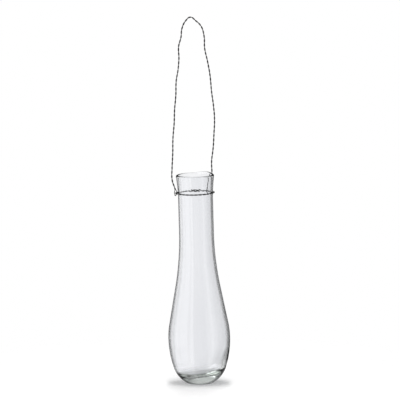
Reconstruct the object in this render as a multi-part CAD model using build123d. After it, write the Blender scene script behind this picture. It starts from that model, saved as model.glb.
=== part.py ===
from build123d import *
import os
from math import atan, ceil, cos, degrees, pi, radians, sin, sqrt

# Propagation vase: a blown-glass drop that stands on its foot or hangs by a twisted-wire loop.
# Millimetres, +Z up, origin at the middle of the flat foot, the hanger's pivot line along X.

# Glass vessel, outside
GLASS_HEIGHT = 200.0
BELLY_RADIUS = 29.4
BELLY_HEIGHT = 43.5
SIDE_ROUND = 92.0
FLAT_DEPTH = 2.8
FOOT_EDGE = 0.8
SHOULDER_ROUND = 75.5
FLANK = 36.0
NECK_RADIUS = 16.55
WAIST_HEIGHT = 145.0
FLARE_LENGTH = 25.0
LIP_FLARE = 1.6

# Glass vessel, inside
NECK_WALL = 1.9
BELLY_WALL = 2.1
FLOOR_SHARE = 0.2
CAVITY_ROUND = 80.0
CAVITY_CORNER = 10.0
LIP_ROUND = 1.15
LIP_FACETS = 4

# How far the blown neck leans from the ground foot, and to which side
LEAN = 1.5
LEAN_SIDE = 156.5

# Twisted wire
STRAND = 0.62
STRAND_GAP = 0.02
TWIST_PITCH = 8.4
STATIONS = 4.4
SIDES = 5

# Collar round the neck, hung below the lip
COLLAR_DROP = 17.2
COLLAR_CLEARANCE = 0.25
SPLICE_SIDE = 66.5
SPLICE_LENGTH = 9.0
SPLICE_TURNS = 1.0
SPLICE_RUN = 5.0
RISE_RUN = 5.5

# Eyes at the hanger's two feet, closed round the collar
EYE_CLEARANCE = 0.3
EYE_OPENING = 4.0
EYE_CLOSING = 2.1
EYE_END = 0.5
EYE_SPLAY = 0.25
FOOT_SIDE = 66.5

# Hanger loop: where its wire bends, from the left foot over the top to the right foot
# (share of the way from the middle out to the right foot, share of the loop's height above the collar)
LOOP_HEIGHT = 166.7
SETBACK = 8.5
LOOP = [
    (-1.174, 0.078),
    (-1.156, 0.147),
    (-1.091, 0.231),
    (-1.055, 0.315),
    (-0.960, 0.399),
    (-0.912, 0.477),
    (-0.811, 0.561),
    (-0.769, 0.639),
    (-0.638, 0.705),
    (-0.566, 0.771),
    (-0.566, 0.837),
    (-0.411, 0.888),
    (-0.334, 0.939),
    (-0.095, 0.982),
    (0.191, 1.000),
    (0.501, 0.978),
    (0.823, 0.944),
    (0.989, 0.885),
    (1.001, 0.819),
    (1.162, 0.738),
    (1.287, 0.657),
    (1.353, 0.567),
    (1.448, 0.483),
    (1.490, 0.408),
    (1.436, 0.327),
    (1.359, 0.240),
    (1.246, 0.165),
    (1.234, 0.087),
]

LIP_RADIUS = NECK_RADIUS + LIP_FLARE
FLOOR = FLOOR_SHARE * BELLY_HEIGHT
COLLAR_HEIGHT = GLASS_HEIGHT - COLLAR_DROP
UP = Vector(0, 0, 1)
BACK = Vector(0, 1, 0)


# Glass
def ease(x):
    """Smooth step from 0 to 1."""
    x = max(0.0, min(1.0, x))
    return 0.5 - 0.5 * cos(pi * x)


def bottom_round(radius, drop, side):
    """Radius of the round bottom that meets a side arc from the belly and ends on the axis."""
    return (2 * side * radius - radius**2 - drop**2) / (2 * (side - drop))


def round_under(pole, belly, side):
    """The outside below the belly: a round bottom that runs into a side arc."""
    base = bottom_round(belly, BELLY_HEIGHT - pole, side)
    middle = Vector(belly - side, BELLY_HEIGHT)
    turn = middle + (Vector(0, pole + base) - middle).normalized() * side
    return [
        TangentArc((0, pole), turn, tangent=(1, 0)),
        TangentArc((belly, BELLY_HEIGHT), turn, tangent=(0, -1)),
    ]


def floor_under(height, belly, side):
    """The inside below the belly: a flat floor whose rounded corner runs into a side arc."""
    middle = Vector(belly - side, BELLY_HEIGHT)
    rise = height + CAVITY_CORNER - BELLY_HEIGHT
    corner = middle + Vector(sqrt((side - CAVITY_CORNER) ** 2 - rise**2), rise)
    floor_end = Vector(corner.X, height)
    side_end = middle + (corner - middle).normalized() * side
    return [
        Line((0, height), floor_end),
        TangentArc(floor_end, side_end, tangent=(1, 0)),
        TangentArc((belly, BELLY_HEIGHT), side_end, tangent=(0, -1)).to_splines(),
    ]


def rising(belly, shoulder, neck, lip):
    """One wall of the vessel in the (radius, height) plane, from the belly up to the lip."""
    widest = Vector(belly, BELLY_HEIGHT)
    rise = WAIST_HEIGHT - BELLY_HEIGHT
    slope = 2 * atan((belly - neck) / (rise + FLANK))
    leave = widest + Vector(-shoulder * (1 - cos(slope)), shoulder * sin(slope))
    arrive = leave + Vector(-FLANK * sin(slope), FLANK * cos(slope))
    waist = Vector(neck, WAIST_HEIGHT)
    flare = Vector(neck, GLASS_HEIGHT - FLARE_LENGTH)
    edge = Vector(lip, GLASS_HEIGHT - LIP_ROUND)
    return [
        TangentArc(widest, leave, tangent=(0, 1)),
        Line(leave, arrive),
        TangentArc(waist, arrive, tangent=(0, -1)).to_splines(),
        Line(waist, flare),
        TangentArc(flare, edge, tangent=(0, 1)).to_splines(),
    ]


def neck_radius(height):
    """Outside radius of the neck at a height above its waist."""
    reach = FLARE_LENGTH - LIP_ROUND
    grow = LIP_RADIUS - NECK_RADIUS
    flare = (reach**2 + grow**2) / (2 * grow)
    climb = max(0.0, height - GLASS_HEIGHT + FLARE_LENGTH)
    return NECK_RADIUS + flare - sqrt(flare**2 - climb**2)


ROUND_BOTTOM = bottom_round(BELLY_RADIUS, BELLY_HEIGHT + FLAT_DEPTH, SIDE_ROUND)
PIVOT = Vector(0, 0, ROUND_BOTTOM - FLAT_DEPTH)
LEAN_AXIS = Axis(PIVOT, (-sin(radians(LEAN_SIDE)), cos(radians(LEAN_SIDE)), 0))


def glass_vessel():
    """The drop, turned about its axis, leaned over, with its round bottom flattened to a foot."""
    outside = round_under(-FLAT_DEPTH, BELLY_RADIUS, SIDE_ROUND)
    outside += rising(BELLY_RADIUS, SHOULDER_ROUND, NECK_RADIUS, LIP_RADIUS)
    cavity = BELLY_RADIUS - BELLY_WALL
    inside = floor_under(FLOOR, cavity, CAVITY_ROUND)
    inside += rising(cavity, SHOULDER_ROUND - BELLY_WALL, NECK_RADIUS - NECK_WALL, LIP_RADIUS - 2 * LIP_ROUND)
    bead = []
    for i in range(LIP_FACETS + 1):
        turn = pi * i / LIP_FACETS
        bead.append((LIP_RADIUS - LIP_ROUND * (1 - cos(turn)), GLASS_HEIGHT - LIP_ROUND * (1 - sin(turn))))
    lip = Polyline(*bead)
    axis = Line((0, -FLAT_DEPTH), (0, FLOOR))
    wall = make_face([*outside, *lip.edges(), *inside, axis])
    drop = revolve(Plane.XZ * wall, Axis.Z, 360).rotate(LEAN_AXIS, LEAN)
    ground = Pos(0, 0, -GLASS_HEIGHT / 2) * Box(GLASS_HEIGHT, GLASS_HEIGHT, GLASS_HEIGHT)
    standing = drop - ground
    rim = standing.edges().filter_by_position(Axis.Z, -0.01, 0.01)
    return fillet(rim, FOOT_EDGE)


# Twisted wire
TWIST_RADIUS = (STRAND + STRAND_GAP) / 2 / cos(pi / STATIONS)
WIRE_RADIUS = TWIST_RADIUS + STRAND / 2


def strand(points, guide):
    """One strand: a faceted wire carried through its points, with flat cut ends."""
    sections = []
    last = len(points) - 1
    for i, point in enumerate(points):
        run = (points[min(i + 1, last)] - points[max(i - 1, 0)]).normalized()
        across = guide[i].cross(run).normalized()
        square = Plane(origin=point, x_dir=across, z_dir=run)
        corners = []
        for k in range(SIDES):
            turn = 2 * pi * k / SIDES
            corners.append(square.from_local_coords((STRAND / 2 * cos(turn), STRAND / 2 * sin(turn), 0)))
        sections.append(Wire.make_polygon(corners))
    return Solid.make_loft(sections, ruled=True)


def twisted(line, runs, guide, phases, spreads):
    """The two strands of a pair that turn about a line of points."""
    first = []
    second = []
    for point, run, ref, phase, spread in zip(line, runs, guide, phases, spreads):
        across = ref.cross(run).normalized()
        out = run.cross(across)
        offset = across * (spread * cos(phase)) + out * (spread * sin(phase))
        first.append(point + offset)
        second.append(point - offset)
    return strand(first, guide), strand(second, guide)


# Collar: a twisted pair closed round the neck, its two ends laid together and twisted at the back
COLLAR_NECK = neck_radius(COLLAR_HEIGHT + WIRE_RADIUS)
COLLAR_RADIUS = COLLAR_NECK + COLLAR_CLEARANCE + WIRE_RADIUS
EYE_RADIUS = WIRE_RADIUS + EYE_CLEARANCE + STRAND / 2
SEAT_RADIUS = COLLAR_NECK + COLLAR_CLEARANCE + STRAND / 2 + EYE_RADIUS
SPLICE_STEP = pi * SPLICE_TURNS * TWIST_PITCH / STATIONS / SPLICE_LENGTH
SPLICE_OFFSET = (WIRE_RADIUS + STRAND_GAP) / cos(SPLICE_STEP)
SPLICE_RADIUS = COLLAR_RADIUS + SPLICE_OFFSET


def apart(angle, other):
    """Angle between two sides of the neck, in degrees."""
    return abs((angle - other + 180) % 360 - 180)


def collar_radius(angle):
    """The collar hugs the neck, and stands off where an eye or the splice lies under it."""
    per_mm = degrees(1 / COLLAR_RADIUS)
    foot = min(apart(angle, 90 - FOOT_SIDE), apart(angle, 90 + FOOT_SIDE))
    splice = max(0.0, apart(angle, SPLICE_SIDE) - SPLICE_LENGTH * per_mm / 2)
    over_foot = (SEAT_RADIUS - COLLAR_RADIUS) * ease(1 - foot / (RISE_RUN * per_mm))
    over_splice = (SPLICE_RADIUS - COLLAR_RADIUS) * ease(1 - splice / (SPLICE_RUN * per_mm))
    return COLLAR_RADIUS + max(over_foot, over_splice)


def collar_point(travel, length):
    """Middle of the collar's pair at a distance along it from its first end."""
    angle = SPLICE_SIDE + degrees((travel - SPLICE_LENGTH / 2) / COLLAR_RADIUS)
    radius = collar_radius(angle)
    side = radians(angle)
    outward = Vector(cos(side), sin(side), 0)
    first_end = ease(1 - (travel - SPLICE_LENGTH) / SPLICE_RUN)
    last_end = ease(1 - (length - SPLICE_LENGTH - travel) / SPLICE_RUN)
    past_splice = (angle - SPLICE_SIDE + 180) % 360 - 180
    around = 2 * pi * SPLICE_TURNS * past_splice / degrees(SPLICE_LENGTH / COLLAR_RADIUS)
    shift = SPLICE_OFFSET * (first_end - last_end)
    return outward * (radius + shift * sin(around)) + UP * (COLLAR_HEIGHT + shift * cos(around))


def collar_strands():
    """Both strands of the collar."""
    length = 2 * pi * COLLAR_RADIUS + SPLICE_LENGTH
    count = ceil(length / TWIST_PITCH * STATIONS)
    travels = [length * i / count for i in range(count + 1)]
    line = [collar_point(t, length) for t in travels]
    runs = []
    for t in travels:
        runs.append((collar_point(t + 0.1, length) - collar_point(t - 0.1, length)).normalized())
    guide = [UP] * len(line)
    phases = [2 * pi * t / TWIST_PITCH for t in travels]
    spreads = [TWIST_RADIUS] * len(line)
    return twisted(line, runs, guide, phases, spreads)


# Hanger: a twisted pair bent to a tall loop, its strands opened round the collar at both feet
def foot(side):
    """Where the hanger's foot grips the collar: on the left for -1, on the right for 1."""
    angle = radians(90 - side * FOOT_SIDE)
    return Vector(SEAT_RADIUS * cos(angle), SEAT_RADIUS * sin(angle), COLLAR_HEIGHT)


def hanger_line():
    """The middle of the hanger's pair, from below the left eye to below the right eye."""
    left = foot(-1)
    right = foot(1)
    bends = [Vector(out * right.X, SETBACK, COLLAR_HEIGHT + rise * LOOP_HEIGHT) for out, rise in LOOP]
    reach = EYE_CLOSING + EYE_END
    start = left + Vector(left.X, left.Y, 0).normalized() * (EYE_SPLAY * reach) - UP * reach
    end = right + Vector(right.X, right.Y, 0).normalized() * (EYE_SPLAY * reach) - UP * reach
    return Spline(start, left, *bends, right, end)


def hanger_strands():
    """Both strands of the hanger."""
    line = hanger_line()
    length = line.length
    eye = EYE_END + EYE_CLOSING + EYE_OPENING
    turns = round((length - 2 * eye) / TWIST_PITCH * 2) / 2
    fine = ceil(eye / TWIST_PITCH * STATIONS * 2)
    coarse = ceil(turns * STATIONS)
    travels = [eye * i / fine for i in range(fine)]
    travels += [eye + (length - 2 * eye) * i / coarse for i in range(coarse)]
    travels += [length - eye + eye * i / fine for i in range(fine + 1)]
    points = [line.position_at(t / length) for t in travels]
    runs = [line.tangent_at(t / length) for t in travels]
    guide = [BACK] * len(points)
    phases = []
    spreads = []
    for t in travels:
        twist = max(0.0, min(1.0, (t - eye) / (length - 2 * eye)))
        lay = radians(90 - FOOT_SIDE)
        phases.append(2 * pi * turns * twist - lay)
        along = min(t, length - t) - EYE_END - EYE_CLOSING
        open_up = ease(1 - along / EYE_OPENING) if along > 0 else ease(1 + along / EYE_CLOSING)
        spreads.append(TWIST_RADIUS + (EYE_RADIUS - TWIST_RADIUS) * open_up)
    return twisted(points, runs, guide, phases, spreads)


def hand_in():
    """Write every piece, leaned over with the neck, to a file of its own."""
    os.makedirs("parts", exist_ok=True)
    collar_a, collar_b = collar_strands()
    hanger_a, hanger_b = hanger_strands()
    pieces = {
        "glass_vessel": glass_vessel(),
        "collar_strand_a": collar_a.rotate(LEAN_AXIS, LEAN),
        "collar_strand_b": collar_b.rotate(LEAN_AXIS, LEAN),
        "hanger_strand_a": hanger_a.rotate(LEAN_AXIS, LEAN),
        "hanger_strand_b": hanger_b.rotate(LEAN_AXIS, LEAN),
    }
    for name, piece in pieces.items():
        export_step(piece, f"parts/{name}.step")


hand_in()
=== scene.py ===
from bisect import bisect_right
from collections import namedtuple
from math import asin, atan, atan2, ceil, cos, degrees, pi, radians, sin, sqrt

import bpy
from mathutils import Matrix, Vector


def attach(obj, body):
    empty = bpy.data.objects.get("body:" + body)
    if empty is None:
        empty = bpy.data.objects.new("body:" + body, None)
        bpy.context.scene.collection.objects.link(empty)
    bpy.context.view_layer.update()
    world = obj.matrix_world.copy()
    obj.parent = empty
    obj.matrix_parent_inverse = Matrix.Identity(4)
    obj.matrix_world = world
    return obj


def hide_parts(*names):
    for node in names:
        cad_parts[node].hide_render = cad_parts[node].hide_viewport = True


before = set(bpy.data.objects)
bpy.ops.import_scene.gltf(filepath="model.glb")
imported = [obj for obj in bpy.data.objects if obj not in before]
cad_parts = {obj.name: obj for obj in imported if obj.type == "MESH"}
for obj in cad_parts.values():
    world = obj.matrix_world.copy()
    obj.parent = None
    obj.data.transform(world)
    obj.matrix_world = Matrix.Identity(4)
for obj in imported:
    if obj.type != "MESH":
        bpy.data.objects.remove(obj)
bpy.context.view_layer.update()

# A blown-glass drop with a twisted-wire collar and a tall twisted-wire hanger.
# Metres, +Z up, origin at the middle of the flat foot, the hanger's pivot line along X.

UP = Vector((0, 0, 1))
BACK = Vector((0, 1, 0))

# Glass, outside
GLASS_HEIGHT = 0.2
BELLY_RADIUS = 0.02938
BELLY_HEIGHT = 0.0435
SIDE_ROUND = 0.092
FLAT_DEPTH = 0.0028
FOOT_EDGE = 0.0008
SHOULDER_ROUND = 0.0755
FLANK = 0.036
NECK_RADIUS = 0.01654
WAIST_HEIGHT = 0.145
FLARE_LENGTH = 0.025
LIP_RADIUS = 0.01813
LIP_ROUND = 0.00115

# Glass, inside
NECK_WALL = 0.0019
BELLY_WALL = 0.0021
CAVITY_RADIUS = BELLY_RADIUS - BELLY_WALL
FLOOR_DEPTH = 0.0087
CAVITY_ROUND = 0.08
CAVITY_CORNER = 0.01

# How finely the glass is drawn: points round a ring, then rings along each stretch of its outline
AROUND = 144
FOOT_RINGS = (0.66, 0.85, 1.0)
FOOT_EDGE_RINGS = 4
BOTTOM_RINGS = 26
SIDE_RINGS = 16
SHOULDER_RINGS = 8
FLANK_RINGS = 8
THROAT_RINGS = 16
NECK_RINGS = 6
FLARE_RINGS = 12
LIP_RINGS = 14
FLOOR_RINGS = 8
CORNER_RINGS = 18
MERGE_GAP = 1e-7

# The neck leans away from the ground foot
LEAN = radians(1.5)
LEAN_SIDE = radians(156.5)

# Uneven by hand: the floor inside, up to its edge, sits askew, and the lip rises in a wave at the back
FLOOR_TILT = radians(4)
FLOOR_EDGE = 0.0012
FLOOR_REACH = 0.03
LIP_WAVE = 0.0012
LIP_WAVE_SIDE = radians(40)
LIP_WAVE_REACH = 0.016

# Twisted wire
STRAND = 0.0007
STRAND_ROUNDNESS = 2
CUT_ANGLE = radians(50)
TWIST_PITCH = 0.0084
TWIST_RADIUS = 0.00036
PER_TURN = 16

# Collar, with its splice's side in degrees
COLLAR_HEIGHT = 0.1828
COLLAR_RADIUS = 0.017744
SEAT_RADIUS = 0.018636
SEAT_RUN = 0.0055
SPLICE_SIDE = 66.5
SPLICE_LENGTH = 0.009
SPLICE_TURNS = 1.0
SPLICE_RUN = 0.005
SPLICE_OFFSET = 0.00078
COLLAR_LENGTH = 2 * pi * COLLAR_RADIUS + SPLICE_LENGTH
COLLAR_AHEAD = 1e-4

# Hanger, with its feet's side in degrees from straight back
FOOT_SIDE = 66.5
EYE_RADIUS = 0.001325
EYE_OPENING = 0.004
EYE_CLOSING = 0.0021
EYE_END = 0.0005
EYE_TAIL = EYE_END + EYE_CLOSING
EYE_SPLAY = 0.25
HANGER_AHEAD = 3e-4
SETBACK = 0.0085
LOOP_HEIGHT = 0.1666
BEND_STEPS = 40

# Bends of the loop from left to right: (share of the right foot's reach, share of the loop's height)
LOOP = [
    (-1.174, 0.078), (-1.156, 0.147), (-1.091, 0.231), (-1.055, 0.315), (-0.960, 0.399), (-0.912, 0.477),
    (-0.811, 0.561), (-0.769, 0.639), (-0.638, 0.705), (-0.566, 0.771), (-0.566, 0.837), (-0.411, 0.888),
    (-0.334, 0.939), (-0.095, 0.982), (0.191, 1.000), (0.501, 0.978), (0.823, 0.944), (0.989, 0.885),
    (1.001, 0.819), (1.162, 0.738), (1.287, 0.657), (1.353, 0.567), (1.448, 0.483), (1.490, 0.408),
    (1.436, 0.327), (1.359, 0.240), (1.246, 0.165), (1.234, 0.087),
]

# Looks of the glass: tints and a painted shade at the edges, then what part of each pattern counts and how
# much it does
GLASS_IOR = 1.5
GLASS_BODY = (0.95, 0.952, 0.97, 1)
GLASS_STREAK = (0.915, 0.918, 0.94, 1)
# Painted shade: the dark tint laid on a wall where it is seen edge on
GLASS_PAINTED_EDGE_SHADE = (0.05, 0.052, 0.058, 1)
GLASS_SHADOW = (0.5, 0.51, 0.52, 1)
GLASS_DEPTH = (0.80, 0.82, 0.80, 1)
GLASS_DENSITY = 75.0
WAVE_HEIGHT = 0.00012
SMEAR_SPAN = (0.45, 0.8)
SMEAR_ROUGHNESS = 0.03
STREAK_SPAN = (0.3, 0.7)
OUTER_EDGE_SPAN = (0.54, 0.7)
OUTER_EDGE_SHADE = 0.85
INNER_EDGE_SPAN = (0.8, 1.0)
INNER_EDGE_SHADE = 0.65

# Looks of the wire: its black scale and the metal that is rubbed bare
WIRE_SCALE = (0.006, 0.006, 0.007, 1)
WIRE_RUBBED = (0.12, 0.117, 0.113, 1)
SPECK_SPAN = (0.45, 0.72)
PATCH_SPAN = (0.35, 0.7)
PATCH_LEAST = 0.25
RUBBED_METALLIC = 0.7
ROUGHNESS_SPAN = (0.2, 0.8)
SCALE_ROUGHNESS = 0.58
RUBBED_ROUGHNESS = 0.32
WIRE_SPECULAR = 0.3
LINE_STRENGTH = 0.4
LINE_HEIGHT = 0.00002

# Camera at the photograph's angle: from the left of the front, a little above, with a long lens (degrees)
CAMERA_SIDE = -23.5
CAMERA_RISE = 7.5
CAMERA_DISTANCE = 6.0
CAMERA_SENSOR = 36
CAMERA_FAR = 50
VIEW_WIDTH = 0.380
AIM_RIGHT = 0.0002
AIM_HEIGHT = 0.1757

# Pale floor, and how far from the middle it fades into the white, as seen plainly and as seen in the glass
FLOOR_RADIUS = 0.45
FLOOR_SIDES = 96
FLOOR_COLOUR = (0.8, 0.8, 0.8, 1)
FLOOR_GLOW = 0.2
FADE_PLAIN = (0.07, 0.3)
FADE_IN_GLASS = (0.035, 0.065)
FADE_MIRRORED = 0.75

# What stands round the vase: (degrees to the right of straight behind it, brightness)
SEEN_THROUGH = [
    (-180, 0.94), (-146, 0.94), (-136, 0.50), (-126, 0.94), (-101, 0.94), (-91, 0.40), (-85, 0.75),
    (-68, 0.90), (-65, 0.30), (-59, 0.30), (-56, 0.94), (-44, 1.0), (3, 1.0), (8, 0.93), (13, 0.86),
    (20, 0.77), (30, 0.68), (37, 0.58), (41, 0.10), (51, 0.10), (55, 0.50), (60, 0.78), (78, 0.86),
    (88, 0.45), (98, 0.94), (124, 0.94), (134, 0.50), (144, 0.94), (180, 0.94),
]
REFLECTED = [
    (-180, 0.40), (-160, 0.40), (-154, 2.30), (-85, 2.20), (-64, 1.20), (-48, 0.12), (40, 0.05),
    (70, 0.15), (118, 0.40), (128, 1.60), (140, 1.60), (152, 0.40), (180, 0.40),
]
ROOM_LIGHT = 0.45
RAMP_SCALE = 2.0

# Higher up the surroundings are dimmer: over this span of a direction's rise, down to this share
DIM_SPAN = (0.35, 0.8)
DIM_SHARE = 0.55

# A bright window behind on the left, high up, that glints in the thick base (degrees, brightness)
WINDOW_SIDE = -46
WINDOW_RISE = 38
WINDOW_REACH = 20
WINDOW_BLUR = 4
WINDOW_LEVEL = 4.5

# The lamps face this place in the glass
LAMP_AIM = Vector((0, 0, 0.12))


# Shared hand moves
def ease(x):
    """A soft start and stop between 0 and 1."""
    x = max(0.0, min(1.0, x))
    return 0.5 - 0.5 * cos(pi * x)


def put_down():
    """Leave edit mode with nothing selected."""
    if bpy.context.mode != "OBJECT":
        bpy.ops.object.mode_set(mode="OBJECT")
    bpy.ops.object.select_all(action="DESELECT")


def pick_up(piece):
    """Select one piece alone, in object mode."""
    put_down()
    piece.select_set(True)
    bpy.context.view_layer.objects.active = piece


def take_points(piece, chosen):
    """Go into edit mode with only the chosen points selected."""
    pick_up(piece)
    bpy.ops.object.mode_set(mode="EDIT")
    bpy.ops.mesh.select_mode(type="VERT")
    bpy.ops.mesh.select_all(action="DESELECT")
    bpy.ops.object.mode_set(mode="OBJECT")
    for i in chosen:
        piece.data.vertices[i].select = True
    bpy.ops.object.mode_set(mode="EDIT")


# Outline of the glass, as (radius, height)
def bottom_radius(radius, drop, side):
    """Radius of the round bottom that runs into a side arc from the belly."""
    return (2 * side * radius - radius**2 - drop**2) / (2 * (side - drop))


BOTTOM_ROUND = bottom_radius(BELLY_RADIUS, BELLY_HEIGHT + FLAT_DEPTH, SIDE_ROUND)
PIVOT = Vector((0, 0, BOTTOM_ROUND - FLAT_DEPTH))


def arc(centre, radius, start, end, steps):
    """Points on an arc, its first point left out."""
    points = []
    for i in range(1, steps + 1):
        turn = start + (end - start) * i / steps
        points.append((centre[0] + radius * cos(turn), centre[1] + radius * sin(turn)))
    return points


def straight(start, end, steps):
    """Points on a straight run, its first point left out."""
    points = []
    for i in range(1, steps + 1):
        share = i / steps
        points.append((start[0] + (end[0] - start[0]) * share, start[1] + (end[1] - start[1]) * share))
    return points


def rounded_bottom(start):
    """The outside below the belly: a round bottom, from the angle start, that runs into a side arc."""
    side_middle = (BELLY_RADIUS - SIDE_ROUND, BELLY_HEIGHT)
    meet = atan2(PIVOT.z - BELLY_HEIGHT, SIDE_ROUND - BELLY_RADIUS)
    points = arc((0, PIVOT.z), BOTTOM_ROUND, start, meet, BOTTOM_RINGS)
    return points + arc(side_middle, SIDE_ROUND, meet, 0, SIDE_RINGS)


def thick_floor():
    """The inside below the belly: a flat floor whose rounded corner runs into a side arc."""
    side_middle = (CAVITY_RADIUS - CAVITY_ROUND, BELLY_HEIGHT)
    rise = FLOOR_DEPTH + CAVITY_CORNER - BELLY_HEIGHT
    reach = sqrt((CAVITY_ROUND - CAVITY_CORNER) ** 2 - rise**2)
    corner = (side_middle[0] + reach, FLOOR_DEPTH + CAVITY_CORNER)
    meet = atan2(rise, reach)
    points = straight((0, FLOOR_DEPTH), (corner[0], FLOOR_DEPTH), FLOOR_RINGS)
    points += arc(corner, CAVITY_CORNER, -pi / 2, meet, CORNER_RINGS)
    return points + arc(side_middle, CAVITY_ROUND, meet, 0, SIDE_RINGS)


def belly_to_lip(belly, shoulder, neck, lip):
    """One wall from the belly up to the lip: shoulder, flank, throat, neck and flare."""
    slope = 2 * atan((belly - neck) / (WAIST_HEIGHT - BELLY_HEIGHT + FLANK))
    points = arc((belly - shoulder, BELLY_HEIGHT), shoulder, 0, slope, SHOULDER_RINGS)
    leave = points[-1]
    arrive = (leave[0] - FLANK * sin(slope), leave[1] + FLANK * cos(slope))
    points += straight(leave, arrive, FLANK_RINGS)
    narrowing = arrive[0] - neck
    rise = WAIST_HEIGHT - arrive[1]
    throat = (narrowing**2 + rise**2) / (2 * narrowing)
    points += arc((neck + throat, WAIST_HEIGHT), throat, pi + asin(rise / throat), pi, THROAT_RINGS)
    flare_foot = GLASS_HEIGHT - FLARE_LENGTH
    points += straight((neck, WAIST_HEIGHT), (neck, flare_foot), NECK_RINGS)
    reach = FLARE_LENGTH - LIP_ROUND
    grow = lip - neck
    flare = (reach**2 + grow**2) / (2 * grow)
    return points + arc((neck + flare, flare_foot), flare, pi, pi - asin(reach / flare), FLARE_RINGS)


# A ring of the glass has a share of the neck's lean and a share in the inner wall, both from 0 to 1
Ring = namedtuple("Ring", "radius height lean inner")


def vessel_rings():
    """Rings from the foot up the outside, over the lip and down the inside."""
    edge_middle = sqrt((BOTTOM_ROUND - FOOT_EDGE) ** 2 - (PIVOT.z - FOOT_EDGE) ** 2)
    edge_end = atan2(FOOT_EDGE - PIVOT.z, edge_middle)
    foot = [(edge_middle * share, 0.0) for share in FOOT_RINGS]
    foot += arc((edge_middle, FOOT_EDGE), FOOT_EDGE, -pi / 2, edge_end, FOOT_EDGE_RINGS)
    outside = rounded_bottom(edge_end)
    outside += belly_to_lip(BELLY_RADIUS, SHOULDER_ROUND, NECK_RADIUS, LIP_RADIUS)
    lip = arc((LIP_RADIUS - LIP_ROUND, GLASS_HEIGHT - LIP_ROUND), LIP_ROUND, 0, pi, LIP_RINGS)
    inside = thick_floor()
    inside += belly_to_lip(CAVITY_RADIUS, SHOULDER_ROUND - BELLY_WALL, NECK_RADIUS - NECK_WALL,
                           LIP_RADIUS - 2 * LIP_ROUND)
    rings = [Ring(r, z, 0.0, 0.0) for r, z in foot]
    rings += [Ring(r, z, ease((i + 1) / BOTTOM_RINGS), 0.0) for i, (r, z) in enumerate(outside)]
    rings += [Ring(r, z, 1.0, ease((LIP_RADIUS - r) / LIP_ROUND / 2)) for r, z in lip]
    rings += [Ring(r, z, 1.0, 1.0) for r, z in reversed(inside[:-1])]
    return rings


# Glass
def leaned_middle(ring):
    """Middle of a ring, leaned over by its share of the neck's lean."""
    up = ring.height - PIVOT.z
    lean = ring.lean * LEAN
    return Vector((up * sin(lean), 0, PIVOT.z + up * cos(lean)))


# Points near the ones that are moved follow along softly
SOFTLY = {
    "use_proportional_edit": True,
    "use_proportional_connected": True,
    "proportional_edit_falloff": "SMOOTH",
}


def tip_floor(vessel, shares):
    """Tip the floor inside a little about Y, then about X."""
    floor = []
    for i, point in enumerate(vessel.data.vertices):
        if shares[i] == 1.0 and point.co.z < FLOOR_DEPTH + FLOOR_EDGE:
            floor.append(i)
    take_points(vessel, floor)
    for axis in "YX":
        bpy.ops.transform.rotate(value=FLOOR_TILT, orient_axis=axis, center_override=(0, 0, FLOOR_DEPTH),
                                 proportional_size=FLOOR_REACH, **SOFTLY)
    put_down()


def wave_lip(vessel):
    """Lift the lip in one wave round the point nearest to its crest."""
    crest = Vector((cos(LIP_WAVE_SIDE), sin(LIP_WAVE_SIDE), 0)) * LIP_RADIUS + UP * GLASS_HEIGHT
    nearest = min(vessel.data.vertices, key=lambda point: (point.co - crest).length)
    take_points(vessel, [nearest.index])
    bpy.ops.transform.translate(value=(0, 0, LIP_WAVE), proportional_size=LIP_WAVE_REACH, **SOFTLY)
    put_down()


def blow_vessel():
    """Draw a disc out to the foot, pull its rim up ring by ring, turn it over the lip and close it inside."""
    rings = vessel_rings()
    put_down()
    bpy.ops.mesh.primitive_circle_add(vertices=AROUND, radius=rings[0].radius, fill_type="TRIFAN")
    vessel = bpy.context.object
    vessel.name = "blown_glass_drop"
    bpy.ops.object.mode_set(mode="EDIT")
    bpy.ops.mesh.select_mode(type="EDGE")
    bpy.ops.mesh.select_all(action="SELECT")
    bpy.ops.mesh.region_to_loop()
    for below, ring in zip(rings, rings[1:]):
        middle = leaned_middle(ring)
        grow = ring.radius / below.radius
        lean = (ring.lean - below.lean) * LEAN
        bpy.ops.mesh.extrude_edges_move(TRANSFORM_OT_translate={"value": middle - leaned_middle(below)})
        bpy.ops.transform.resize(value=(grow, grow, grow), center_override=middle)
        # With no window, rotate turns the other way
        if lean:
            bpy.ops.transform.rotate(value=-lean, orient_axis="Y", center_override=middle)
    bpy.ops.mesh.extrude_edges_move(TRANSFORM_OT_translate={"value": (0, 0, 0)})
    bpy.ops.mesh.merge(type="CENTER")
    bpy.ops.mesh.select_all(action="SELECT")
    bpy.ops.mesh.remove_doubles(threshold=MERGE_GAP)
    bpy.ops.mesh.normals_make_consistent(inside=False)
    bpy.ops.transform.rotate(value=-LEAN_SIDE, orient_axis="Z", center_override=(0, 0, 0))
    pick_up(vessel)
    bpy.ops.object.shade_smooth()
    shares = [0.0] + [ring.inner for ring in rings for _ in range(AROUND)] + [1.0]
    inner_wall = vessel.data.attributes.new("inner_wall", "FLOAT", "POINT")
    inner_wall.data.foreach_set("value", shares)
    tip_floor(vessel, shares)
    wave_lip(vessel)
    return vessel


# Twisted wire
def strand(name, points):
    """One round strand carried through its points, with flat cut ends."""
    put_down()
    bpy.ops.curve.primitive_nurbs_path_add()
    wire = bpy.context.object
    wire.name = name
    curve = wire.data
    curve.splines.clear()
    run = curve.splines.new("POLY")
    run.points.add(len(points) - 1)
    for point, place in zip(run.points, points):
        point.co = (*place, 1)
    curve.bevel_depth = STRAND / 2
    curve.bevel_resolution = STRAND_ROUNDNESS
    curve.use_fill_caps = True
    pick_up(wire)
    bpy.ops.object.convert(target="MESH")
    bpy.ops.object.mode_set(mode="EDIT")
    bpy.ops.mesh.select_all(action="SELECT")
    bpy.ops.mesh.normals_make_consistent(inside=False)
    lean_over(wire)
    bpy.ops.object.shade_smooth_by_angle(angle=CUT_ANGLE)
    return wire


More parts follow.
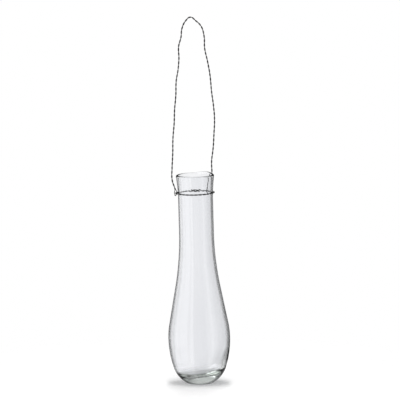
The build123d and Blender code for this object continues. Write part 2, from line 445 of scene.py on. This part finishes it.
def lean_over(piece):
    """Turn an upright piece with the neck, and settle its place into its mesh."""
    axis = Vector((-sin(LEAN_SIDE), cos(LEAN_SIDE), 0))
    lean = Matrix.Rotation(LEAN, 4, axis)
    pick_up(piece)
    piece.matrix_world = Matrix.Translation(PIVOT) @ lean @ Matrix.Translation(-PIVOT)
    bpy.ops.object.transform_apply(location=True, rotation=True, scale=True)


def steps_along(length):
    """Even distances along a twisted pair, close enough for its turns."""
    count = ceil(length / TWIST_PITCH * PER_TURN)
    return [length * i / count for i in range(count + 1)]


def twist(name, point_at, travels, ahead, guide, phases, spreads):
    """The two strands of a pair that turn about a line, their turns counted from a guide direction.

    Which way the line runs is read a little ahead of each point and as far behind it.
    """
    first = []
    second = []
    for travel, phase, spread in zip(travels, phases, spreads):
        point = point_at(travel)
        run = (point_at(travel + ahead) - point_at(travel - ahead)).normalized()
        across = guide.cross(run).normalized()
        out = run.cross(across)
        offset = across * (spread * cos(phase)) + out * (spread * sin(phase))
        first.append(point + offset)
        second.append(point - offset)
    return strand(name + "_first_strand", first), strand(name + "_second_strand", second)


# Collar
def apart(angle, other):
    """Degrees between two sides of the neck."""
    return abs((angle - other + 180) % 360 - 180)


def collar_radius(angle):
    """The collar hugs the neck, and stands off where an eye or the splice lies under it."""
    per_metre = degrees(1 / COLLAR_RADIUS)
    from_foot = min(apart(angle, 90 - FOOT_SIDE), apart(angle, 90 + FOOT_SIDE))
    from_splice = max(0.0, apart(angle, SPLICE_SIDE) - SPLICE_LENGTH * per_metre / 2)
    over_foot = (SEAT_RADIUS - COLLAR_RADIUS) * ease(1 - from_foot / (SEAT_RUN * per_metre))
    over_splice = SPLICE_OFFSET * ease(1 - from_splice / (SPLICE_RUN * per_metre))
    return COLLAR_RADIUS + max(over_foot, over_splice)


def collar_point(travel):
    """Middle of the collar's pair at a distance along it from its first end."""
    angle = SPLICE_SIDE + degrees((travel - SPLICE_LENGTH / 2) / COLLAR_RADIUS)
    side = radians(angle)
    first_end = ease(1 - (travel - SPLICE_LENGTH) / SPLICE_RUN)
    last_end = ease(1 - (COLLAR_LENGTH - SPLICE_LENGTH - travel) / SPLICE_RUN)
    past_splice = (angle - SPLICE_SIDE + 180) % 360 - 180
    around = 2 * pi * SPLICE_TURNS * past_splice / degrees(SPLICE_LENGTH / COLLAR_RADIUS)
    shift = SPLICE_OFFSET * (first_end - last_end)
    radius = collar_radius(angle) + shift * sin(around)
    return Vector((radius * cos(side), radius * sin(side), COLLAR_HEIGHT + shift * cos(around)))


def wind_collar():
    """The collar's two strands, closed round the neck by the splice."""
    travels = steps_along(COLLAR_LENGTH)
    phases = [2 * pi * travel / TWIST_PITCH for travel in travels]
    spreads = [TWIST_RADIUS] * len(travels)
    return twist("collar", collar_point, travels, COLLAR_AHEAD, UP, phases, spreads)


# Hanger
def hanger_foot(side):
    """Where the hanger's foot grips the collar: on the left for -1, on the right for 1."""
    angle = radians(90 - side * FOOT_SIDE)
    return Vector((SEAT_RADIUS * cos(angle), SEAT_RADIUS * sin(angle), COLLAR_HEIGHT))


def hanger_tail(side):
    """Where the closed end of a foot's eye hangs, splayed out below the collar."""
    grip = hanger_foot(side)
    outward = Vector((grip.x, grip.y, 0)).normalized()
    return grip + outward * (EYE_SPLAY * EYE_TAIL) - UP * EYE_TAIL


def hanger_route():
    """The bent line of the hanger as a smooth curve, read back as close points."""
    right = hanger_foot(1).x
    bends = [Vector((out * right, SETBACK, COLLAR_HEIGHT + rise * LOOP_HEIGHT)) for out, rise in LOOP]
    stops = [hanger_tail(-1), hanger_foot(-1), *bends, hanger_foot(1), hanger_tail(1)]
    put_down()
    bpy.ops.curve.primitive_bezier_curve_add()
    route = bpy.context.object
    route.data.splines.clear()
    run = route.data.splines.new("BEZIER")
    run.bezier_points.add(len(stops) - 1)
    for point, place in zip(run.bezier_points, stops):
        point.co = place
        point.handle_left_type = "AUTO"
        point.handle_right_type = "AUTO"
    run.resolution_u = BEND_STEPS
    bpy.context.view_layer.update()
    read = bpy.data.meshes.new_from_object(route.evaluated_get(bpy.context.evaluated_depsgraph_get()))
    points = [v.co.copy() for v in read.vertices]
    bpy.data.meshes.remove(read)
    bpy.data.objects.remove(route)
    return points


class Line:
    """A line of close points, read by the distance along it."""

    def __init__(self, points):
        self.points = points
        self.stations = [0.0]
        for a, b in zip(points, points[1:]):
            self.stations.append(self.stations[-1] + (b - a).length)
        self.length = self.stations[-1]

    def point_at(self, travel):
        """Point at a distance along the line, held at its two ends."""
        travel = max(0.0, min(self.length, travel))
        i = min(bisect_right(self.stations, travel), len(self.points) - 1)
        share = (travel - self.stations[i - 1]) / (self.stations[i] - self.stations[i - 1])
        return self.points[i - 1].lerp(self.points[i], share)


def wind_hanger():
    """The hanger's two strands, parted at each foot into an eye that holds the collar."""
    route = Line(hanger_route())
    eye = EYE_TAIL + EYE_OPENING
    twisted = route.length - 2 * eye
    half_turns = round(twisted / TWIST_PITCH * 2)
    travels = steps_along(route.length)
    phases = []
    spreads = []
    for travel in travels:
        share = max(0.0, min(1.0, (travel - eye) / twisted))
        phases.append(pi * half_turns * share - radians(90 - FOOT_SIDE))
        past = min(travel, route.length - travel) - EYE_TAIL
        opened = ease(1 - past / EYE_OPENING) if past > 0 else ease(1 + past / EYE_CLOSING)
        spreads.append(TWIST_RADIUS + (EYE_RADIUS - TWIST_RADIUS) * opened)
    return twist("hanger", route.point_at, travels, HANGER_AHEAD, BACK, phases, spreads)


# Shader nodes
FULL = (0.0, 1.0)


def new_material(name):
    """An empty material and its node tree."""
    material = bpy.data.materials.new(name)
    material.use_nodes = True
    tree = material.node_tree
    tree.nodes.clear()
    return material, tree


def add(tree, kind, **settings):
    """A new node with its settings."""
    node = tree.nodes.new(kind)
    for key, value in settings.items():
        setattr(node, key, value)
    return node


def feed(tree, value, socket):
    """A node's socket is linked, and a plain value is set."""
    if isinstance(value, bpy.types.NodeSocket):
        tree.links.new(value, socket)
    else:
        socket.default_value = value


def math_node(tree, operation, first, second):
    """One step of arithmetic on two values."""
    node = add(tree, "ShaderNodeMath", operation=operation)
    feed(tree, first, node.inputs[0])
    feed(tree, second, node.inputs[1])
    return node.outputs[0]


def carry(tree, value, span, onto, smooth=False):
    """A value carried from one span of numbers onto another."""
    node = add(tree, "ShaderNodeMapRange", interpolation_type="SMOOTHSTEP" if smooth else "LINEAR")
    for socket, setting in zip(node.inputs, (value, *span, *onto)):
        feed(tree, setting, socket)
    return node.outputs[0]


def mix_value(tree, share, first, second):
    """A value between two others."""
    node = add(tree, "ShaderNodeMix", data_type="FLOAT")
    feed(tree, share, node.inputs[0])
    feed(tree, first, node.inputs[2])
    feed(tree, second, node.inputs[3])
    return node.outputs[0]


def mix_colour(tree, share, first, second):
    """A colour between two others."""
    node = add(tree, "ShaderNodeMix", data_type="RGBA")
    feed(tree, share, node.inputs[0])
    feed(tree, first, node.inputs[6])
    feed(tree, second, node.inputs[7])
    return node.outputs[2]


def mix_shader(tree, share, first, second):
    """A surface between two others."""
    node = add(tree, "ShaderNodeMixShader")
    feed(tree, share, node.inputs[0])
    tree.links.new(first, node.inputs[1])
    tree.links.new(second, node.inputs[2])
    return node.outputs[0]


def noise(tree, scale, detail, rough=0.5, tall=1.0):
    """Cloudy noise on the piece, drawn out along its height where tall is below 1."""
    mapping = add(tree, "ShaderNodeMapping")
    mapping.inputs["Scale"].default_value = (1, 1, tall)
    tree.links.new(add(tree, "ShaderNodeTexCoord").outputs["Object"], mapping.inputs["Vector"])
    node = add(tree, "ShaderNodeTexNoise")
    tree.links.new(mapping.outputs["Vector"], node.inputs["Vector"])
    node.inputs["Scale"].default_value = scale
    node.inputs["Detail"].default_value = detail
    node.inputs["Roughness"].default_value = rough
    return node.outputs["Fac"]


def relief(tree, height, strength, distance):
    """Surface normals that follow a height pattern."""
    bump = add(tree, "ShaderNodeBump")
    bump.inputs["Strength"].default_value = strength
    bump.inputs["Distance"].default_value = distance
    tree.links.new(height, bump.inputs["Height"])
    return bump.outputs["Normal"]


# Materials
def clear_glass():
    """Clear blown glass: faint drawn waves and smears, with painted shade that darkens each wall where it is
    seen edge on.
    """
    material, tree = new_material("clear_blown_glass")
    out = add(tree, "ShaderNodeOutputMaterial")
    glass = add(tree, "ShaderNodeBsdfPrincipled")
    glass.inputs["IOR"].default_value = GLASS_IOR
    glass.inputs["Transmission Weight"].default_value = 1.0
    glass.inputs["Metallic"].default_value = 0.0
    waves = noise(tree, scale=55.0, detail=2.0, tall=0.25)
    feed(tree, relief(tree, waves, 1.0, WAVE_HEIGHT), glass.inputs["Normal"])
    smears = noise(tree, scale=90.0, detail=4.0, rough=0.6)
    feed(tree, carry(tree, smears, SMEAR_SPAN, (0.0, SMEAR_ROUGHNESS)), glass.inputs["Roughness"])
    # Painted shade: each wall is tinted dark where it is seen edge on, in place of the dark surroundings that
    # glass shows at its edges
    edge_on = add(tree, "ShaderNodeLayerWeight").outputs["Facing"]
    outer_painted_shade = carry(tree, edge_on, OUTER_EDGE_SPAN, (0.0, OUTER_EDGE_SHADE), smooth=True)
    inner_painted_shade = carry(tree, edge_on, INNER_EDGE_SPAN, (0.0, INNER_EDGE_SHADE), smooth=True)
    inner_wall = add(tree, "ShaderNodeAttribute", attribute_name="inner_wall").outputs["Fac"]
    shade = mix_value(tree, inner_wall, outer_painted_shade, inner_painted_shade)
    streaks = noise(tree, scale=70.0, detail=2.0, tall=0.06)
    body = mix_colour(tree, carry(tree, streaks, STREAK_SPAN, FULL), GLASS_STREAK, GLASS_BODY)
    feed(tree, mix_colour(tree, shade, body, GLASS_PAINTED_EDGE_SHADE), glass.inputs["Base Color"])
    shadow = add(tree, "ShaderNodeBsdfTransparent")
    shadow.inputs["Color"].default_value = GLASS_SHADOW
    in_shadow = add(tree, "ShaderNodeLightPath").outputs["Is Shadow Ray"]
    feed(tree, mix_shader(tree, in_shadow, glass.outputs[0], shadow.outputs[0]), out.inputs["Surface"])
    depth = add(tree, "ShaderNodeVolumeAbsorption")
    depth.inputs["Color"].default_value = GLASS_DEPTH
    depth.inputs["Density"].default_value = GLASS_DENSITY
    tree.links.new(depth.outputs[0], out.inputs["Volume"])
    return material


def dark_wire():
    """Dark annealed iron wire: a black scale that has rubbed bright in places, with fine drawing lines."""
    material, tree = new_material("dark_annealed_wire")
    out = add(tree, "ShaderNodeOutputMaterial")
    wire = add(tree, "ShaderNodeBsdfPrincipled")
    specks = noise(tree, scale=900.0, detail=4.0, rough=0.65)
    patches = noise(tree, scale=140.0, detail=3.0)
    rubbed = math_node(tree, "MULTIPLY", carry(tree, specks, SPECK_SPAN, FULL, smooth=True),
                       carry(tree, patches, PATCH_SPAN, (PATCH_LEAST, 1.0)))
    feed(tree, mix_colour(tree, rubbed, WIRE_SCALE, WIRE_RUBBED), wire.inputs["Base Color"])
    feed(tree, carry(tree, rubbed, FULL, (0.0, RUBBED_METALLIC)), wire.inputs["Metallic"])
    roughness = carry(tree, specks, ROUGHNESS_SPAN, (SCALE_ROUGHNESS, RUBBED_ROUGHNESS))
    feed(tree, roughness, wire.inputs["Roughness"])
    wire.inputs["Specular IOR Level"].default_value = WIRE_SPECULAR
    drawing_lines = noise(tree, scale=2600.0, detail=3.0, rough=0.6, tall=0.2)
    feed(tree, relief(tree, drawing_lines, LINE_STRENGTH, LINE_HEIGHT), wire.inputs["Normal"])
    tree.links.new(wire.outputs[0], out.inputs["Surface"])
    return material


def pale_floor():
    """Pale matt floor that takes the shadow, and fades into the white round it towards its rim."""
    material, tree = new_material("pale_floor")
    out = add(tree, "ShaderNodeOutputMaterial")
    matt = add(tree, "ShaderNodeBsdfDiffuse")
    matt.inputs["Color"].default_value = FLOOR_COLOUR
    rays = add(tree, "ShaderNodeLightPath").outputs
    in_glass = math_node(tree, "MAXIMUM", rays["Is Glossy Ray"], rays["Is Transmission Ray"])
    seen = math_node(tree, "MAXIMUM", rays["Is Camera Ray"], in_glass)
    glow = add(tree, "ShaderNodeEmission")
    feed(tree, math_node(tree, "MULTIPLY", seen, FLOOR_GLOW), glow.inputs["Strength"])
    lit = add(tree, "ShaderNodeAddShader")
    tree.links.new(matt.outputs[0], lit.inputs[0])
    tree.links.new(glow.outputs[0], lit.inputs[1])
    reach = add(tree, "ShaderNodeVectorMath", operation="LENGTH")
    tree.links.new(add(tree, "ShaderNodeTexCoord").outputs["Object"], reach.inputs[0])
    from_middle = reach.outputs["Value"]
    fade_plain = carry(tree, from_middle, FADE_PLAIN, FULL, smooth=True)
    fade_through = carry(tree, from_middle, FADE_IN_GLASS, FULL, smooth=True)
    mirrored = math_node(tree, "SUBTRACT", rays["Is Glossy Ray"], rays["Is Transmission Ray"])
    fade_mirrored = math_node(tree, "MULTIPLY", mirrored, FADE_MIRRORED)
    fade_in_glass = math_node(tree, "MAXIMUM", fade_through, fade_mirrored)
    fade = math_node(tree, "MULTIPLY", mix_value(tree, in_glass, fade_plain, fade_in_glass), seen)
    white = add(tree, "ShaderNodeBsdfTransparent")
    feed(tree, mix_shader(tree, fade, lit.outputs[0], white.outputs[0]), out.inputs["Surface"])
    return material


# Camera and studio
def way_to(side, rise):
    """Direction from the vase, by degrees round to the right from the camera's side and degrees up."""
    turn = radians(CAMERA_SIDE + side)
    up = radians(rise)
    return Vector((sin(turn) * cos(up), -cos(turn) * cos(up), sin(up)))


def set_camera():
    """A long lens that looks at the vase from the photograph's angle."""
    toward = way_to(0, CAMERA_RISE)
    aim = way_to(90, 0) * AIM_RIGHT + UP * AIM_HEIGHT
    put_down()
    bpy.ops.object.camera_add(location=aim + toward * CAMERA_DISTANCE)
    camera = bpy.context.object
    camera.name = "camera"
    camera.rotation_euler = (-toward).to_track_quat("-Z", "Y").to_euler()
    camera.data.sensor_width = CAMERA_SENSOR
    camera.data.lens = CAMERA_SENSOR * CAMERA_DISTANCE / VIEW_WIDTH
    camera.data.clip_end = CAMERA_FAR
    bpy.context.scene.camera = camera


def lay_floor():
    """A pale round floor under the foot."""
    put_down()
    bpy.ops.mesh.primitive_circle_add(vertices=FLOOR_SIDES, radius=FLOOR_RADIUS, fill_type="NGON")
    floor = bpy.context.object
    floor.name = "pale_floor"
    floor.data.materials.append(pale_floor())


def soft_box(name, side, rise, distance, width, height, watts, mirrored):
    """A soft lamp that faces the vase, not seen through the glass, and mirrored in it only if asked."""
    toward = way_to(side, rise)
    put_down()
    bpy.ops.object.light_add(type="AREA", location=LAMP_AIM + toward * distance)
    lamp = bpy.context.object
    lamp.name = name
    lamp.rotation_euler = (-toward).to_track_quat("-Z", "Y").to_euler()
    lamp.data.shape = "RECTANGLE"
    lamp.data.size = width
    lamp.data.size_y = height
    lamp.data.energy = watts
    lamp.visible_transmission = False
    lamp.visible_glossy = mirrored


def panorama(tree, turn, stops):
    """Brightness all round the vase, from a ramp that holds each level divided by the ramp scale."""
    ramp = add(tree, "ShaderNodeValToRGB")
    tree.links.new(turn, ramp.inputs[0])
    band = ramp.color_ramp
    for place, _ in stops[1:-1]:
        band.elements.new(place / 360 + 0.5)
    for element, (_, level) in zip(band.elements, stops):
        element.color = (level / RAMP_SCALE, level / RAMP_SCALE, level / RAMP_SCALE, 1)
    return math_node(tree, "MULTIPLY", ramp.outputs[0], RAMP_SCALE)


def along_way(tree, place, way):
    """How far a direction of the surroundings goes along another one."""
    node = add(tree, "ShaderNodeVectorMath", operation="DOT_PRODUCT")
    tree.links.new(place, node.inputs[0])
    node.inputs[1].default_value = way
    return node.outputs["Value"]


def surround():
    """White to the camera, with panels round the vase that its glass shows and mirrors."""
    world = bpy.data.worlds.new("studio")
    bpy.context.scene.world = world
    world.use_nodes = True
    tree = world.node_tree
    tree.nodes.clear()
    out = add(tree, "ShaderNodeOutputWorld")
    air = add(tree, "ShaderNodeBackground")
    air.inputs["Color"].default_value = (1, 1, 1, 1)
    rays = add(tree, "ShaderNodeLightPath").outputs
    place = add(tree, "ShaderNodeTexCoord").outputs["Generated"]
    right = along_way(tree, place, way_to(90, 0))
    behind = along_way(tree, place, way_to(180, 0))
    round_turn = math_node(tree, "DIVIDE", math_node(tree, "ARCTAN2", right, behind), 2 * pi)
    turn = math_node(tree, "ADD", round_turn, 0.5)
    dim = carry(tree, along_way(tree, place, UP), DIM_SPAN, (1.0, DIM_SHARE), smooth=True)
    panels = math_node(tree, "MULTIPLY", panorama(tree, turn, SEEN_THROUGH), dim)
    to_window = along_way(tree, place, way_to(180 - WINDOW_SIDE, WINDOW_RISE))
    window_edge = (cos(radians(WINDOW_REACH)), cos(radians(WINDOW_REACH - WINDOW_BLUR)))
    window = carry(tree, to_window, window_edge, (0.0, WINDOW_LEVEL), smooth=True)
    through = math_node(tree, "MAXIMUM", panels, window)
    # A ray that has passed through glass counts as glossy too, so what it sees is mixed in later
    level = mix_value(tree, rays["Is Glossy Ray"], ROOM_LIGHT, panorama(tree, turn, REFLECTED))
    level = mix_value(tree, rays["Is Transmission Ray"], level, through)
    level = mix_value(tree, rays["Is Camera Ray"], level, 1.0)
    tree.links.new(level, air.inputs["Strength"])
    tree.links.new(air.outputs[0], out.inputs["Surface"])


# Pieces
def finish_piece(piece, node, body, material):
    """Give a piece its material and its body, and hide the CAD node that it stands for."""
    piece.data.materials.clear()
    piece.data.materials.append(material)
    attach(piece, body)
    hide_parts(node)


set_camera()
glass = clear_glass()
iron = dark_wire()
finish_piece(blow_vessel(), "glass_vessel", "vessel", glass)
for piece, letter in zip(wind_collar(), "ab"):
    finish_piece(piece, "collar_strand_" + letter, "collar", iron)
for piece, letter in zip(wind_hanger(), "ab"):
    finish_piece(piece, "hanger_strand_" + letter, "hanger", iron)

# Studio
lay_floor()
soft_box("lamp_above", side=180, rise=88, distance=1.1, width=0.14, height=1.0, watts=10.0, mirrored=False)
soft_box("lamp_left", side=-70, rise=12, distance=0.9, width=0.9, height=1.1, watts=1.5, mirrored=True)
surround()
bpy.context.scene.view_settings.view_transform = "Standard"

bpy.context.view_layer.update()
